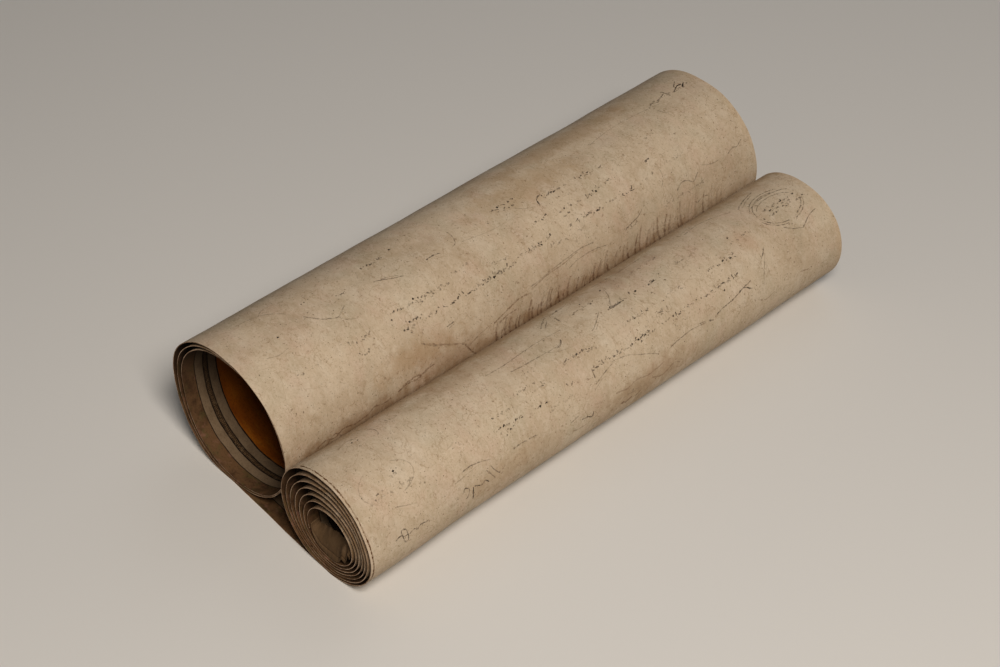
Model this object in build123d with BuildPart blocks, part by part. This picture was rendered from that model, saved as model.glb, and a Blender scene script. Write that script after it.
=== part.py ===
from build123d import *
import os

# A long paper sheet rolled up from both ends, lying on a table.
#
# X runs along both rolls, Y across them and Z up. The sheet lies flat on the table between the two
# rolls. One end is rolled into the big roll on the +Y side, and the other into the small roll on
# the -Y side. The origin is under the middle of the whole scroll, at table height.

# Driving dimensions, in millimetres and degrees.
SHEET_WIDTH = 420.0  # across the sheet, so it is also the length of each roll
SHEET_THICKNESS = 0.5
END_STEP = 7.0  # how far the small roll sits towards -X of the big one
ROLL_GAP = 4.0  # between the two rolls at their widest

BIG_HEIGHT = 104.5
BIG_FLAT = 6.5  # the flat spot that the roll's own weight presses into it
BIG_HALF_TURNS = 5  # whole half turns, before the last piece of a turn
BIG_END_SWEEP = 12.0  # the last piece of a turn, up to the sheet's end
BIG_OUTER_PITCH = 3.8  # from one turn to the next on the side away from the small roll
BIG_GROOVE_PITCH = 0.7  # the same on the side that faces the small roll
BIG_TOP_PITCH = 1.5
BIG_BOTTOM_PITCH = 1.1

SMALL_HEIGHT = 77.5
SMALL_FLAT = 2.5
SMALL_HALF_TURNS = 13
SMALL_END_SWEEP = 112.0
SMALL_OUTER_PITCH = 3.4
SMALL_GROOVE_PITCH = 3.3
SMALL_TOP_PITCH = 5.1
SMALL_BOTTOM_PITCH = 1.5

TRIM_ALLOWANCE = 2.0  # how far the trimming cuts run past the sheet

# Where the rolls lie.
big_width = BIG_HEIGHT + BIG_FLAT
small_width = SMALL_HEIGHT + SMALL_FLAT
total_depth = big_width + ROLL_GAP + small_width
big_axis_y = total_depth / 2 - big_width / 2
small_axis_y = small_width / 2 - total_depth / 2
groove_y = big_axis_y - big_width / 2 - ROLL_GAP / 2
blank_length = SHEET_WIDTH + END_STEP
near_x = -blank_length / 2
far_x = blank_length / 2
step_z = (SHEET_THICKNESS + min(BIG_BOTTOM_PITCH, SMALL_BOTTOM_PITCH)) / 2


def roll_arcs(axis_y, lead, flat, height, side_pitches, top_pitch, bottom_pitch, halves, end_sweep):
    """Arcs of the outside face of one roll, in order from the strip to the sheet's end.

    lead is +1 where the sheet first climbs the roll's +Y side, and -1 for the -Y side. The first
    of side_pitches is for that side. Every turn rests on the one below it, so the turns crowd
    together at the bottom. Each arc is (centre, radius, start angle, sweep).
    """
    arcs = []
    for index in range(halves + 1):
        turn, coming_down = divmod(index, 2)
        top = height - top_pitch * turn
        bottom = bottom_pitch * (turn + coming_down)
        radius = (top - bottom) / 2
        side = -lead if coming_down else lead
        reach = (height + flat) / 2 - side_pitches[coming_down] * turn
        center = (axis_y + side * (reach - radius), (top + bottom) / 2)
        start = 90 if coming_down else -90
        sweep = end_sweep if index == halves else 180
        arcs.append((center, radius, start, lead * sweep))
    return arcs


def face_line(arcs, depth):
    """Draw one face of a roll, depth inside its outside face, and return its two end points."""
    first = last = None
    for center, radius, start, sweep in arcs:
        arc = CenterArc(center, radius - depth, start, sweep)
        if last is not None:
            Line(last, arc @ 0)
        first = arc @ 0 if first is None else first
        last = arc @ 1
    return first, last


big_roll = roll_arcs(
    big_axis_y, 1, BIG_FLAT, BIG_HEIGHT, (BIG_OUTER_PITCH, BIG_GROOVE_PITCH),
    BIG_TOP_PITCH, BIG_BOTTOM_PITCH, BIG_HALF_TURNS, BIG_END_SWEEP,
)
small_roll = roll_arcs(
    small_axis_y, -1, SMALL_FLAT, SMALL_HEIGHT, (SMALL_OUTER_PITCH, SMALL_GROOVE_PITCH),
    SMALL_TOP_PITCH, SMALL_BOTTOM_PITCH, SMALL_HALF_TURNS, SMALL_END_SWEEP,
)

with BuildPart() as scroll_sheet:
    # The whole rolled section: both faces of the sheet, joined at its two ends.
    with BuildSketch(Plane.YZ.offset(near_x)):
        with BuildLine():
            big_start, big_end = face_line(big_roll, 0)
            small_start, small_end = face_line(small_roll, 0)
            Line(big_start, small_start)
            big_start_inside, big_end_inside = face_line(big_roll, SHEET_THICKNESS)
            small_start_inside, small_end_inside = face_line(small_roll, SHEET_THICKNESS)
            Line(big_start_inside, small_start_inside)
            Line(big_end, big_end_inside)
            Line(small_end, small_end_inside)
        make_face()
    extrude(amount=blank_length)

    # Trim both ends above the strip, so that the small roll sits a step towards -X.
    with BuildSketch(Plane.XY.offset(step_z)):
        with BuildLine():
            Polyline(
                (near_x - TRIM_ALLOWANCE, groove_y),
                (near_x + END_STEP, groove_y),
                (near_x + END_STEP, total_depth / 2 + TRIM_ALLOWANCE),
                (near_x - TRIM_ALLOWANCE, total_depth / 2 + TRIM_ALLOWANCE),
                close=True,
            )
        make_face()
        with BuildLine():
            Polyline(
                (far_x + TRIM_ALLOWANCE, groove_y),
                (far_x - END_STEP, groove_y),
                (far_x - END_STEP, -total_depth / 2 - TRIM_ALLOWANCE),
                (far_x + TRIM_ALLOWANCE, -total_depth / 2 - TRIM_ALLOWANCE),
                close=True,
            )
        make_face()
    extrude(amount=BIG_HEIGHT, mode=Mode.SUBTRACT)

    # On the strip the same step is made by an edge that runs askew from one roll to the other.
    with BuildSketch(Plane.XY.offset(-TRIM_ALLOWANCE)):
        with BuildLine():
            Polyline(
                (near_x - TRIM_ALLOWANCE, small_axis_y),
                (near_x, small_axis_y),
                (near_x + END_STEP, big_axis_y),
                (near_x + END_STEP, total_depth / 2 + TRIM_ALLOWANCE),
                (near_x - TRIM_ALLOWANCE, total_depth / 2 + TRIM_ALLOWANCE),
                close=True,
            )
        make_face()
        with BuildLine():
            Polyline(
                (far_x + TRIM_ALLOWANCE, big_axis_y),
                (far_x, big_axis_y),
                (far_x - END_STEP, small_axis_y),
                (far_x - END_STEP, -total_depth / 2 - TRIM_ALLOWANCE),
                (far_x + TRIM_ALLOWANCE, -total_depth / 2 - TRIM_ALLOWANCE),
                close=True,
            )
        make_face()
    extrude(amount=TRIM_ALLOWANCE + step_z, mode=Mode.SUBTRACT)

scroll_sheet.part.label = "scroll_sheet"

os.makedirs("parts", exist_ok=True)
export_step(scroll_sheet.part, "parts/scroll_sheet.step")
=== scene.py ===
"""Looks of the paper scroll: one long sheet rolled up from both ends, and the print that it carries."""
import logging
import math
from dataclasses import dataclass
from enum import Enum

import bpy
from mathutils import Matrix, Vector, noise


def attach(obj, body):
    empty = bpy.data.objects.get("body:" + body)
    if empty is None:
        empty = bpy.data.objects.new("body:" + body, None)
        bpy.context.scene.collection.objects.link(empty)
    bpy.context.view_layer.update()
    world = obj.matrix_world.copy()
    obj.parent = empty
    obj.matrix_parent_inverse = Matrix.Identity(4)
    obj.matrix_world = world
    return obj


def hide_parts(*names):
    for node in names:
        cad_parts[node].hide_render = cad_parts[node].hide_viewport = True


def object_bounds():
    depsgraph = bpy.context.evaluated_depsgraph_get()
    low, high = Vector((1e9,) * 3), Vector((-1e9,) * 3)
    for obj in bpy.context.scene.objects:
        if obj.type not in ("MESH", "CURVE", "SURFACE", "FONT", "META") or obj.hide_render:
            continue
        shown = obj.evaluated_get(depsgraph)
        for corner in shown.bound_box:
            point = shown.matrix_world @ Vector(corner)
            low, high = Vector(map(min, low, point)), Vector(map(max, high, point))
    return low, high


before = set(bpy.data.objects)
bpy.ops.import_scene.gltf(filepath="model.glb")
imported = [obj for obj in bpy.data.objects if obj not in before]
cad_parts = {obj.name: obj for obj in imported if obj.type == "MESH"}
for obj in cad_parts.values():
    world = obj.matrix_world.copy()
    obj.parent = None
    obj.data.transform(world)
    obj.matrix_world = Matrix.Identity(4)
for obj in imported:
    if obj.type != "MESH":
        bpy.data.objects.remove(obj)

Tree = bpy.types.NodeTree
Node = bpy.types.Node
Thing = bpy.types.Object
Material = bpy.types.Material
Point = tuple[float, float]
Space = tuple[float, float, float]

MM = 0.001
FLAT = "flat"  # the place on the flat sheet: from the near edge, along the sheet, from the far edge
ADD = "ShaderNodeMath ADD"
SUBTRACT = "ShaderNodeMath SUBTRACT"
MULTIPLY = "ShaderNodeMath MULTIPLY"
MULTIPLY_ADD = "ShaderNodeMath MULTIPLY_ADD"
DIVIDE = "ShaderNodeMath DIVIDE"
VECTOR = "ShaderNodeVectorMath "  # the operation's name goes after it
COMBINE = "ShaderNodeCombineXYZ"
SEPARATE = "ShaderNodeSeparateXYZ"
NOISE = "ShaderNodeTexNoise"
RANGE = "ShaderNodeMapRange"
MIX = "ShaderNodeMix"
STORE = "GeometryNodeStoreNamedAttribute"
READ = "GeometryNodeInputNamedAttribute"
MOVE = "GeometryNodeSetPosition"
RANDOM = "FunctionNodeRandomValue"
# The sheet's map has the outer face below, the inner face over it and the cut edges at the top.
OUTER_SHARE = 0.7
INNER_START = 0.72
INNER_SHARE = 0.25
CUT_START = 0.973
CUT_SHARE = 0.024

cad_low, cad_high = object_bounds()
log = logging.getLogger("scroll")


class Side(Enum):
    """Which side of the roll's middle the sheet climbs first."""

    PLUS_Y = 1
    MINUS_Y = -1


class Face(Enum):
    """The kinds of face on the sheet, as its tree numbers them."""

    OUTER = 0
    INNER = 1
    CUT = 2

    @property
    def title(self) -> str:
        """Give the name of the tree's input for this face's material."""
        return f"{self.name.title()} face"


def linear(colour: str) -> tuple[float, float, float, float]:
    """Turn an sRGB hex colour into linear values.

    Args:
        colour: Six hex digits after a hash.

    Returns:
        Red, green, blue and alpha for a node's socket.
    """
    parts = [int(colour[i : i + 2], 16) / 255 for i in (1, 3, 5)]
    return (*[p / 12.92 if p <= 0.04045 else ((p + 0.055) / 1.055) ** 2.4 for p in parts], 1.0)


def pick(sockets: bpy.types.NodeInputs, key: int | str) -> bpy.types.NodeSocket:
    """Find a socket.

    Args:
        sockets: A node's inputs or outputs.
        key: The socket's number, or its name among those in use.

    Returns:
        The socket.
    """
    if isinstance(key, int):
        return sockets[key]
    return next(s for s in sockets if s.name == key and s.enabled)


def add(tree: Tree, kind: str, inputs: dict | None = None, **settings: object) -> Node:
    """Add a node with its settings and links.

    Args:
        tree: The tree that gets the node.
        kind: The node's type, and after a space its operation, if it has one.
        inputs: For each socket, a plain value, a socket or node to link from, or a list of them.
        **settings: The node's own properties.

    Returns:
        The node.
    """
    kind, _, operation = kind.partition(" ")
    made = tree.nodes.new(kind)
    if operation:
        made.operation = operation
    for name, value in settings.items():
        setattr(made, name, value)
    for key, value in (inputs or {}).items():
        end = pick(made.inputs, key)
        for item in value if isinstance(value, list) else [value]:
            if isinstance(item, bpy.types.Node):
                item = next(s for s in item.outputs if s.enabled)
            if isinstance(item, bpy.types.NodeSocket):
                tree.links.new(item, end)
            else:
                end.default_value = item
    return made


def new_tree(name: str, inputs: dict[str, str]) -> tuple[Tree, Node]:
    """Start a Geometry Nodes tree with named inputs and one geometry output.

    Args:
        name: The tree's name.
        inputs: The name and kind of each input.

    Returns:
        The tree and its input node.
    """
    tree = bpy.data.node_groups.new(name, "GeometryNodeTree")
    for title, kind in inputs.items():
        tree.interface.new_socket(title, in_out="INPUT", socket_type=f"NodeSocket{kind}")
    tree.interface.new_socket("Geometry", in_out="OUTPUT", socket_type="NodeSocketGeometry")
    return tree, tree.nodes.new("NodeGroupInput")


def creased(tree: Tree, mesh: object) -> Node:
    """Add the nodes that keep a mesh's corners crisp.

    Args:
        tree: The tree that gets them.
        mesh: The mesh.

    Returns:
        The last of the nodes.
    """
    fold = add(tree, "GeometryNodeInputMeshEdgeAngle")
    sharp = add(tree, "ShaderNodeMath GREATER_THAN", {0: fold, 1: 1.0})
    wanted = {"Geometry": mesh, "Name": "sharp_edge", "Value": sharp}
    return add(tree, STORE, wanted, data_type="BOOLEAN", domain="EDGE")


def in_scene(name: str, data: bpy.types.ID) -> Thing:
    """Put new data in the scene as an object.

    Args:
        name: The object's name.
        data: The mesh, curve, light or camera.

    Returns:
        The object.
    """
    made = bpy.data.objects.new(name, data)
    bpy.context.scene.collection.objects.link(made)
    return made


def settle(piece: Thing) -> Thing:
    """Make a piece and its modifiers one plain, smooth mesh.

    Args:
        piece: The object.

    Returns:
        The same object, with no modifier left on it.
    """
    evaluated = piece.evaluated_get(bpy.context.evaluated_depsgraph_get())
    mesh = bpy.data.meshes.new_from_object(evaluated)
    piece.modifiers.clear()
    piece.data = mesh
    mesh.name = piece.name
    mesh.shade_smooth()
    return piece


def run_tree(name: str, tree: Tree, values: dict[str, object]) -> Thing:
    """Run a tree and keep its result as a plain mesh object.

    Args:
        name: The object's name.
        tree: The finished tree.
        values: The value of each named input.

    Returns:
        The object, with no modifier left on it.
    """
    piece = in_scene(name, bpy.data.meshes.new(name))
    modifier = piece.modifiers.new("tree", "NODES")
    modifier.node_group = tree
    for item in tree.interface.items_tree:
        if item.in_out == "INPUT" and item.name in values:
            modifier[item.identifier] = values[item.name]
    return settle(piece)


@dataclass(frozen=True)
class Arc:
    """One arc of the sheet's outside face, seen along the rolls, in millimetres and degrees."""

    y: float
    z: float
    radius: float
    start: float
    sweep: float

    def points(self, step: float = 0.75) -> list[Point]:
        """Give points along the arc.

        Args:
            step: The most that two of them are apart, in degrees.

        Returns:
            The points, as (y, z) in millimetres.
        """
        count = math.ceil(abs(self.sweep) / step)
        angles = [math.radians(self.start + self.sweep * (i / count)) for i in range(count + 1)]
        return [(self.y + self.radius * math.cos(a), self.z + self.radius * math.sin(a)) for a in angles]


def path_length(points: list[Point]) -> float:
    """Give the length of a path through these points, in their own unit."""
    return sum(math.dist(a, b) for a, b in zip(points, points[1:]))


@dataclass(frozen=True)
class Roll:
    """One roll of the sheet. Sizes are in millimetres and degrees, as on the build's own drawing."""

    side: Side
    height: float
    flat: float
    half_turns: int
    end_sweep: float
    outer_pitch: float
    groove_pitch: float
    top_pitch: float
    bottom_pitch: float

    @property
    def axis_y(self) -> float:
        """Give the place of the roll's middle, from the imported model's own side."""
        edge = cad_high.y if self.side is Side.PLUS_Y else cad_low.y
        return edge / MM - self.side.value * (self.height + self.flat) / 2

    def arcs(self) -> list[Arc]:
        """Work out the arcs of the outside face.

        Returns:
            The arcs, in order from the strip to the sheet's end.
        """
        arcs = []
        lead = self.side.value
        pitches = (self.outer_pitch, self.groove_pitch)
        for index in range(self.half_turns + 1):
            turn, coming_down = divmod(index, 2)
            top = self.height - self.top_pitch * turn
            bottom = self.bottom_pitch * (turn + coming_down)
            radius = (top - bottom) / 2
            side = -lead if coming_down else lead
            reach = (self.height + self.flat) / 2 - pitches[coming_down] * turn
            sweep = self.end_sweep if index == self.half_turns else 180
            start = 90 if coming_down else -90
            y = self.axis_y + side * (reach - radius)
            arcs.append(Arc(y, (top + bottom) / 2, radius, start, lead * sweep))
        return arcs

    def path(self, first: int | None = None) -> list[Point]:
        """Give points along the outside face from the strip on, for the first arcs or for all."""
        return [point for arc in self.arcs()[:first] for point in arc.points()]


@dataclass(frozen=True)
class SheetPlan:
    """The whole sheet. The place along it is 0 where the strip meets the big roll."""

    thickness: float = 0.5
    end_step: float = 7.0  # how far the small roll sits towards -X of the big one
    big: Roll = Roll(Side.PLUS_Y, 104.5, 6.5, 5, 12, 3.8, 0.7, 1.5, 1.1)
    small: Roll = Roll(Side.MINUS_Y, 77.5, 2.5, 13, 112, 3.4, 3.3, 5.1, 1.5)

    @property
    def width(self) -> float:
        """Give the sheet's width, which is each roll's length."""
        return (cad_high.x - cad_low.x) / MM - self.end_step

    @property
    def strip(self) -> float:
        """Give the length of the strip between the rolls."""
        return math.dist(self.big.path()[0], self.small.path()[0])

    def turn(self, roll: Roll) -> float:
        """Give the length of a roll's outermost turn, which ends at its lowest line."""
        return path_length(roll.path(2))

    def section(self) -> Thing:
        """Draw the rolled section as a curve.

        Returns:
            The curve's object, which runs from the big roll's end to the small roll's end.
        """
        line = [*reversed(self.big.path()), *self.small.path()]
        curve = bpy.data.curves.new("section", "CURVE")
        curve.dimensions = "3D"
        spline = curve.splines.new("POLY")
        spline.points.add(len(line) - 1)
        for point, (y, z) in zip(spline.points, line):
            point.co = (0, y * MM, z * MM, 1)
        return in_scene("section", curve)


@dataclass(frozen=True)
class Nudge:
    """A place where the soft roll is pushed a little out of its round. Sizes are in millimetres."""

    place: Space
    reach: Space
    push: Space

    def offset(self, tree: Tree, position: Node) -> Node:
        """Add the nodes for this push.

        Args:
            tree: The tree that gets them.
            position: The point's place in the rolled sheet.

        Returns:
            The node that gives the push as a vector.
        """
        place, reach, push = (tuple(v * MM for v in part) for part in (self.place, self.reach, self.push))
        away = add(tree, VECTOR + "SUBTRACT", {0: position, 1: place})
        share = add(tree, VECTOR + "DIVIDE", {0: away, 1: reach})
        far = add(tree, VECTOR + "LENGTH", {0: share}).outputs["Value"]
        fall = {"Value": far, "To Min": 1.0, "To Max": 0.0}
        fade = add(tree, RANGE, fall, interpolation_type="SMOOTHERSTEP")
        return add(tree, VECTOR + "SCALE", {0: push, "Scale": fade})


@dataclass(frozen=True)
class RollUp:
    """Rolls up flat work, so that the sheet and all that lies on it share one path."""

    plan: SheetPlan
    nudges: tuple[Nudge, ...]
    wave: float = 0.5  # millimetres that the paper waves in and out
    wave_span: float = 85.0
    wobble: float = 0.45  # millimetres that the trimmed edges wander
    wander_span: float = 45.0
    floor_fade: float = 18.0  # the paper lies still up to this height, where it touches the table
    small_sink: float = 3.0  # millimetres that the small roll's innermost turn sits inside its rim
    big_sink: float = 0.8

    def sinking(self, tree: Tree, along: object, end: object) -> Node:
        """Add the nodes that set each turn a little further in than the one outside it.

        Args:
            tree: The tree that gets them.
            along: The place along the sheet.
            end: -1 at the near edge and 1 at the far edge.

        Returns:
            The node that gives the shift along the roll.
        """
        plan = self.plan
        small, big = (
            add(tree, RANGE, {
                "Value": along, "From Min": (start + lead * plan.turn(roll)) * MM,
                "From Max": (start + lead * path_length(roll.path())) * MM, "To Max": sink * MM,
            })
            for roll, start, lead, sink in (
                (plan.small, plan.strip, 1, self.small_sink), (plan.big, 0, -1, self.big_sink),
            )
        )
        both = add(tree, ADD, {0: small, 1: big})
        inward = add(tree, MULTIPLY, {0: end, 1: -1.0})
        return add(tree, MULTIPLY, {0: both, 1: inward})

    def laid_out(self, tree: Tree, work: object, given: Node, place: object, above: object) -> Node:
        """Add the nodes that lay the work out flat on its own map, face by face.

        Args:
            tree: The tree that gets them.
            work: The flat work.
            given: The tree's input node.
            place: The place on the flat sheet.
            above: The height above the outer face, in metres.

        Returns:
            The node that gives the work with its map.
        """
        x, along, _ = add(tree, SEPARATE, {0: place}).outputs
        right = add(tree, DIVIDE, {0: x, 1: self.plan.width * MM})
        past = add(tree, SUBTRACT, {0: along, 1: given.outputs["Start"]})
        up = add(tree, DIVIDE, {0: past, 1: given.outputs["Span"]})
        kind = add(tree, READ, {"Name": "kind"}, data_type="INT")
        inner, cut = (
            add(tree, "ShaderNodeMath COMPARE", {0: kind, 1: face.value, 2: 0.5})
            for face in (Face.INNER, Face.CUT)
        )
        share = add(tree, MULTIPLY_ADD, {0: inner, 1: INNER_SHARE - OUTER_SHARE, 2: OUTER_SHARE})
        first = add(tree, MULTIPLY, {0: inner, 1: INNER_START})
        height = add(tree, MULTIPLY_ADD, {0: up, 1: share, 2: first})
        depth = add(tree, RANGE, {
            "Value": above, "From Max": -self.plan.thickness * MM,
            "To Min": CUT_START, "To Max": CUT_START + CUT_SHARE,
        })
        both = add(tree, ADD, {0: right, 1: up})
        half = add(tree, MULTIPLY, {0: both, 1: 0.5})
        face = add(tree, COMBINE, {0: right, 1: height})
        wall = add(tree, COMBINE, {0: half, 1: depth})
        spot = add(tree, MIX, {"Factor": cut, "A": face, "B": wall}, data_type="VECTOR")
        wanted = {"Geometry": work, "Name": "OFBake", "Value": spot.outputs["Result"]}
        return add(tree, STORE, wanted, data_type="FLOAT2", domain="CORNER")

    def group(self) -> Tree:
        """Build the node group.

        Returns:
            A tree that takes flat work, a section curve, and where the work starts and how far it goes.
        """
        kinds = {"Geometry": "Geometry", "Section": "Object", "Start": "Float", "Span": "Float"}
        tree, given = new_tree("roll up", kinds)
        half = self.plan.width * MM / 2
        step = self.plan.end_step * MM / 2
        wobble, wave = 2 * self.wobble * MM, 2 * self.wave * MM
        x, along, above = add(tree, SEPARATE, {0: add(tree, "GeometryNodeInputPosition")}).outputs
        near = add(tree, ADD, {0: x, 1: half})
        far = add(tree, SUBTRACT, {0: half, 1: x})
        place = add(tree, COMBINE, {0: near, 1: along, 2: far})
        wanted = {"Geometry": given.outputs["Geometry"], "Name": FLAT, "Value": place}
        kept = add(tree, STORE, wanted, data_type="FLOAT_VECTOR")
        kept = self.laid_out(tree, kept, given, place, above)

        section = add(tree, "GeometryNodeObjectInfo", {"Object": given.outputs["Section"]})
        length = add(tree, ADD, {0: along, 1: path_length(self.plan.big.path()) * MM})
        where = {"Curves": section.outputs["Geometry"], "Length": length}
        sample = add(tree, "GeometryNodeSampleCurve", where, mode="LENGTH", use_all_curves=True)
        across = add(tree, VECTOR + "CROSS_PRODUCT", {0: (1, 0, 0), 1: sample.outputs["Tangent"]})
        out = add(tree, VECTOR + "NORMALIZE", {0: across})

        skew = {"Value": along, "From Max": self.plan.strip * MM, "To Min": step, "To Max": -step}
        shift = add(tree, RANGE, skew)
        end = add(tree, DIVIDE, {0: x, 1: half})
        rim = add(tree, "ShaderNodeMath POWER", {0: end, 1: 8.0})
        seat = add(tree, COMBINE, {0: end, 1: along, 2: above})
        stretch = (1.3, 1 / (self.wander_span * MM), 1)
        spread = add(tree, VECTOR + "MULTIPLY", {0: seat, 1: stretch})
        wander = add(tree, NOISE, {"Vector": spread, "Scale": 1.0, "Detail": 4.0})
        ragged = add(tree, RANGE, {"Value": wander, "To Min": -wobble, "To Max": wobble})
        uneven = add(tree, ADD, {0: ragged, 1: self.sinking(tree, along, end)})
        trimmed = add(tree, MULTIPLY_ADD, {0: uneven, 1: rim, 2: shift})
        run = add(tree, ADD, {0: x, 1: trimmed})
        moved = add(tree, COMBINE, {0: run})
        base = add(tree, VECTOR + "ADD", {0: sample.outputs["Position"], 1: moved})

        height = add(tree, SEPARATE, {0: base}).outputs["Z"]
        calm = add(tree, RANGE, {"Value": height, "From Max": self.floor_fade * MM})
        waves = add(tree, NOISE, {"Vector": base, "Scale": 1 / (self.wave_span * MM), "Detail": 2.0})
        lift = add(tree, RANGE, {"Value": waves, "To Min": -wave, "To Max": wave})
        raised = add(tree, MULTIPLY_ADD, {0: lift, 1: calm, 2: above})
        total = add(tree, VECTOR + "SCALE", {0: out, "Scale": raised})
        for nudge in self.nudges:
            total = add(tree, VECTOR + "ADD", {0: total, 1: nudge.offset(tree, base)})
        final = add(tree, VECTOR + "ADD", {0: base, 1: total})
        add(tree, "NodeGroupOutput", {0: add(tree, MOVE, {"Geometry": kept, "Position": final})})
        return tree


@dataclass(frozen=True)
class SheetBuilder:
    """Builds stretches of the sheet as closed slabs of paper and rolls them up."""

    plan: SheetPlan
    roll_up: Tree
    section: Thing

    def tree(self) -> Tree:
        """Build the tree for a stretch of sheet.

        Returns:
            The tree, whose inputs are the stretch's sizes and its three finishes.
        """
        kinds = {"Section": "Object", "Columns": "Int", "Rows": "Int"}
        kinds |= dict.fromkeys(("Width", "Start", "End", "Thickness"), "Float")
        kinds |= {face.title: "Material" for face in Face}
        tree, given = new_tree("sheet", kinds)
        size = given.outputs
        length = add(tree, SUBTRACT, {0: size["End"], 1: size["Start"]})
        grid = add(tree, "GeometryNodeMeshGrid", {
            "Size X": size["Width"], "Size Y": length,
            "Vertices X": size["Columns"], "Vertices Y": size["Rows"],
        })
        sides = add(tree, ADD, {0: size["End"], 1: size["Start"]})
        middle = add(tree, MULTIPLY, {0: sides, 1: 0.5})
        offset = add(tree, COMBINE, {1: middle})
        outer = add(tree, MOVE, {"Geometry": pick(grid.outputs, "Mesh"), "Offset": offset})
        depth = add(tree, MULTIPLY, {0: size["Thickness"], 1: -1.0})
        pull = {"Mesh": outer, "Offset": (0, 0, 1), "Offset Scale": depth, "Individual": False}
        body = add(tree, "GeometryNodeExtrudeMesh", pull)
        cut = add(tree, MULTIPLY, {0: body.outputs["Side"], 1: 2.0})
        kind = add(tree, ADD, {0: cut, 1: body.outputs["Top"]})
        wanted = {"Geometry": body.outputs["Mesh"], "Name": "kind", "Value": kind}
        marked = add(tree, STORE, wanted, data_type="INT", domain="FACE")
        turned = add(tree, "GeometryNodeFlipFaces", {"Mesh": marked})
        both = add(tree, "GeometryNodeJoinGeometry", {0: [outer, turned]})
        slab = add(tree, "GeometryNodeMergeByDistance", {"Geometry": both, "Distance": 1e-6})
        inputs = {name: size[name] for name in ("Section", "Start")}
        inputs |= {"Geometry": creased(tree, slab), "Span": length}
        rolled = add(tree, "GeometryNodeGroup", node_tree=self.roll_up, inputs=inputs)
        done = add(tree, "GeometryNodeRealizeInstances", {0: rolled})
        number = add(tree, READ, {"Name": "kind"}, data_type="INT")
        for face in Face:
            same = {"A": number, "B": face.value}
            chosen = add(tree, "FunctionNodeCompare", same, data_type="INT", operation="EQUAL")
            given_to = {"Geometry": done, "Selection": chosen, "Material": size[face.title]}
            done = add(tree, "GeometryNodeSetMaterial", given_to)
        add(tree, "NodeGroupOutput", {0: done})
        return tree

    def build(
        self, tree: Tree, name: str, ends: Point, mesh_step: Point, finishes: dict[str, Material]
    ) -> Thing:
        """Build one stretch.

        Args:
            tree: The tree of this class.
            name: The piece's name.
            ends: Where along the sheet it starts and ends, in millimetres.
            mesh_step: The longest side of its mesh's faces, across and along the sheet.
            finishes: The material for each kind of face.

        Returns:
            The finished object.
        """
        start, end = ends
        width = self.plan.width
        return run_tree(name, tree, {
            "Section": self.section, "Width": width * MM, "Thickness": self.plan.thickness * MM,
            "Start": start * MM, "End": end * MM,
            "Columns": round(width / mesh_step[0]) + 1,
            "Rows": round((end - start) / mesh_step[1]) + 1,
            **finishes,
        })


@dataclass(frozen=True)
class Mottle:
    """One layer of uneven colour. size is the real size of its patches, in millimetres."""

    size: float
    colour: str
    strength: float
    low: float = 0.45
    high: float = 0.7
    detail: float = 3.0
    stretch: Space = (1.0, 1.0, 1.0)


@dataclass(frozen=True)
class StainAndShade:
    """A soft field of colour at a place on the flat sheet, in millimetres: a stain, or a patch of painted
    shade.
    """

    x: float
    along: float
    reach_x: float
    reach_along: float
    colour: str
    strength: float


def lay(tree: Tree, under: object, colour: str | object, share: object) -> Node:
    """Lay one colour over another.

    Args:
        tree: The material's tree.
        under: The colour below.
        colour: The colour on top, as hex digits or from a node.
        share: How far it covers.

    Returns:
        The mixing node.
    """
    top = linear(colour) if isinstance(colour, str) else colour
    return add(tree, MIX, {"Factor": share, "A": under, "B": top}, data_type="RGBA")


def mottled(tree: Tree, place: object, base: object, layers: tuple[Mottle, ...]) -> object:
    """Lay layers of uneven colour over a base.

    Args:
        tree: The material's tree.
        place: The pattern's place, in millimetres.
        base: The colour below.
        layers: The layers, lowest first.

    Returns:
        The node that gives the colour.
    """
    for index, layer in enumerate(layers):
        spot = add(tree, VECTOR + "MULTIPLY_ADD", {0: place, 1: layer.stretch, 2: (index * 37.0, 0, 0)})
        grain = {"Vector": spot, "Scale": 1 / layer.size, "Detail": layer.detail, "Roughness": 0.6}
        patches = add(tree, NOISE, grain)
        limits = {"From Min": layer.low, "From Max": layer.high, "To Max": layer.strength}
        base = lay(tree, base, layer.colour, add(tree, RANGE, {"Value": patches, **limits}))
    return base


def stained_and_shaded(tree: Tree, place: object, base: object, stains: tuple[StainAndShade, ...]) -> object:
    """Lay soft fields of stain and of painted shade over a base.

    Args:
        tree: The material's tree.
        place: The place on the flat sheet, in millimetres.
        base: The colour below.
        stains: The fields of stain and of painted shade.

    Returns:
        The node that gives the colour.
    """
    blur = add(tree, NOISE, {"Vector": place, "Scale": 1 / 14, "Detail": 5.0, "Roughness": 0.65})
    limits = {"From Min": 0.3, "From Max": 0.7, "To Min": -0.45, "To Max": 0.45}
    rough = add(tree, RANGE, {"Value": blur, **limits})
    for stain in stains:
        away = add(tree, VECTOR + "SUBTRACT", {0: place, 1: (stain.x, stain.along, 0)})
        size = (1 / stain.reach_x, 1 / stain.reach_along, 0)
        share = add(tree, VECTOR + "MULTIPLY", {0: away, 1: size})
        far = add(tree, VECTOR + "LENGTH", {0: share}).outputs["Value"]
        uneven = add(tree, ADD, {0: far, 1: rough})
        fall = {"Value": uneven, "From Min": 0.2, "From Max": 1.1, "To Min": stain.strength, "To Max": 0.0}
        fade = add(tree, RANGE, fall, interpolation_type="SMOOTHSTEP")
        base = lay(tree, base, stain.colour, fade)
    return base


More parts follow.
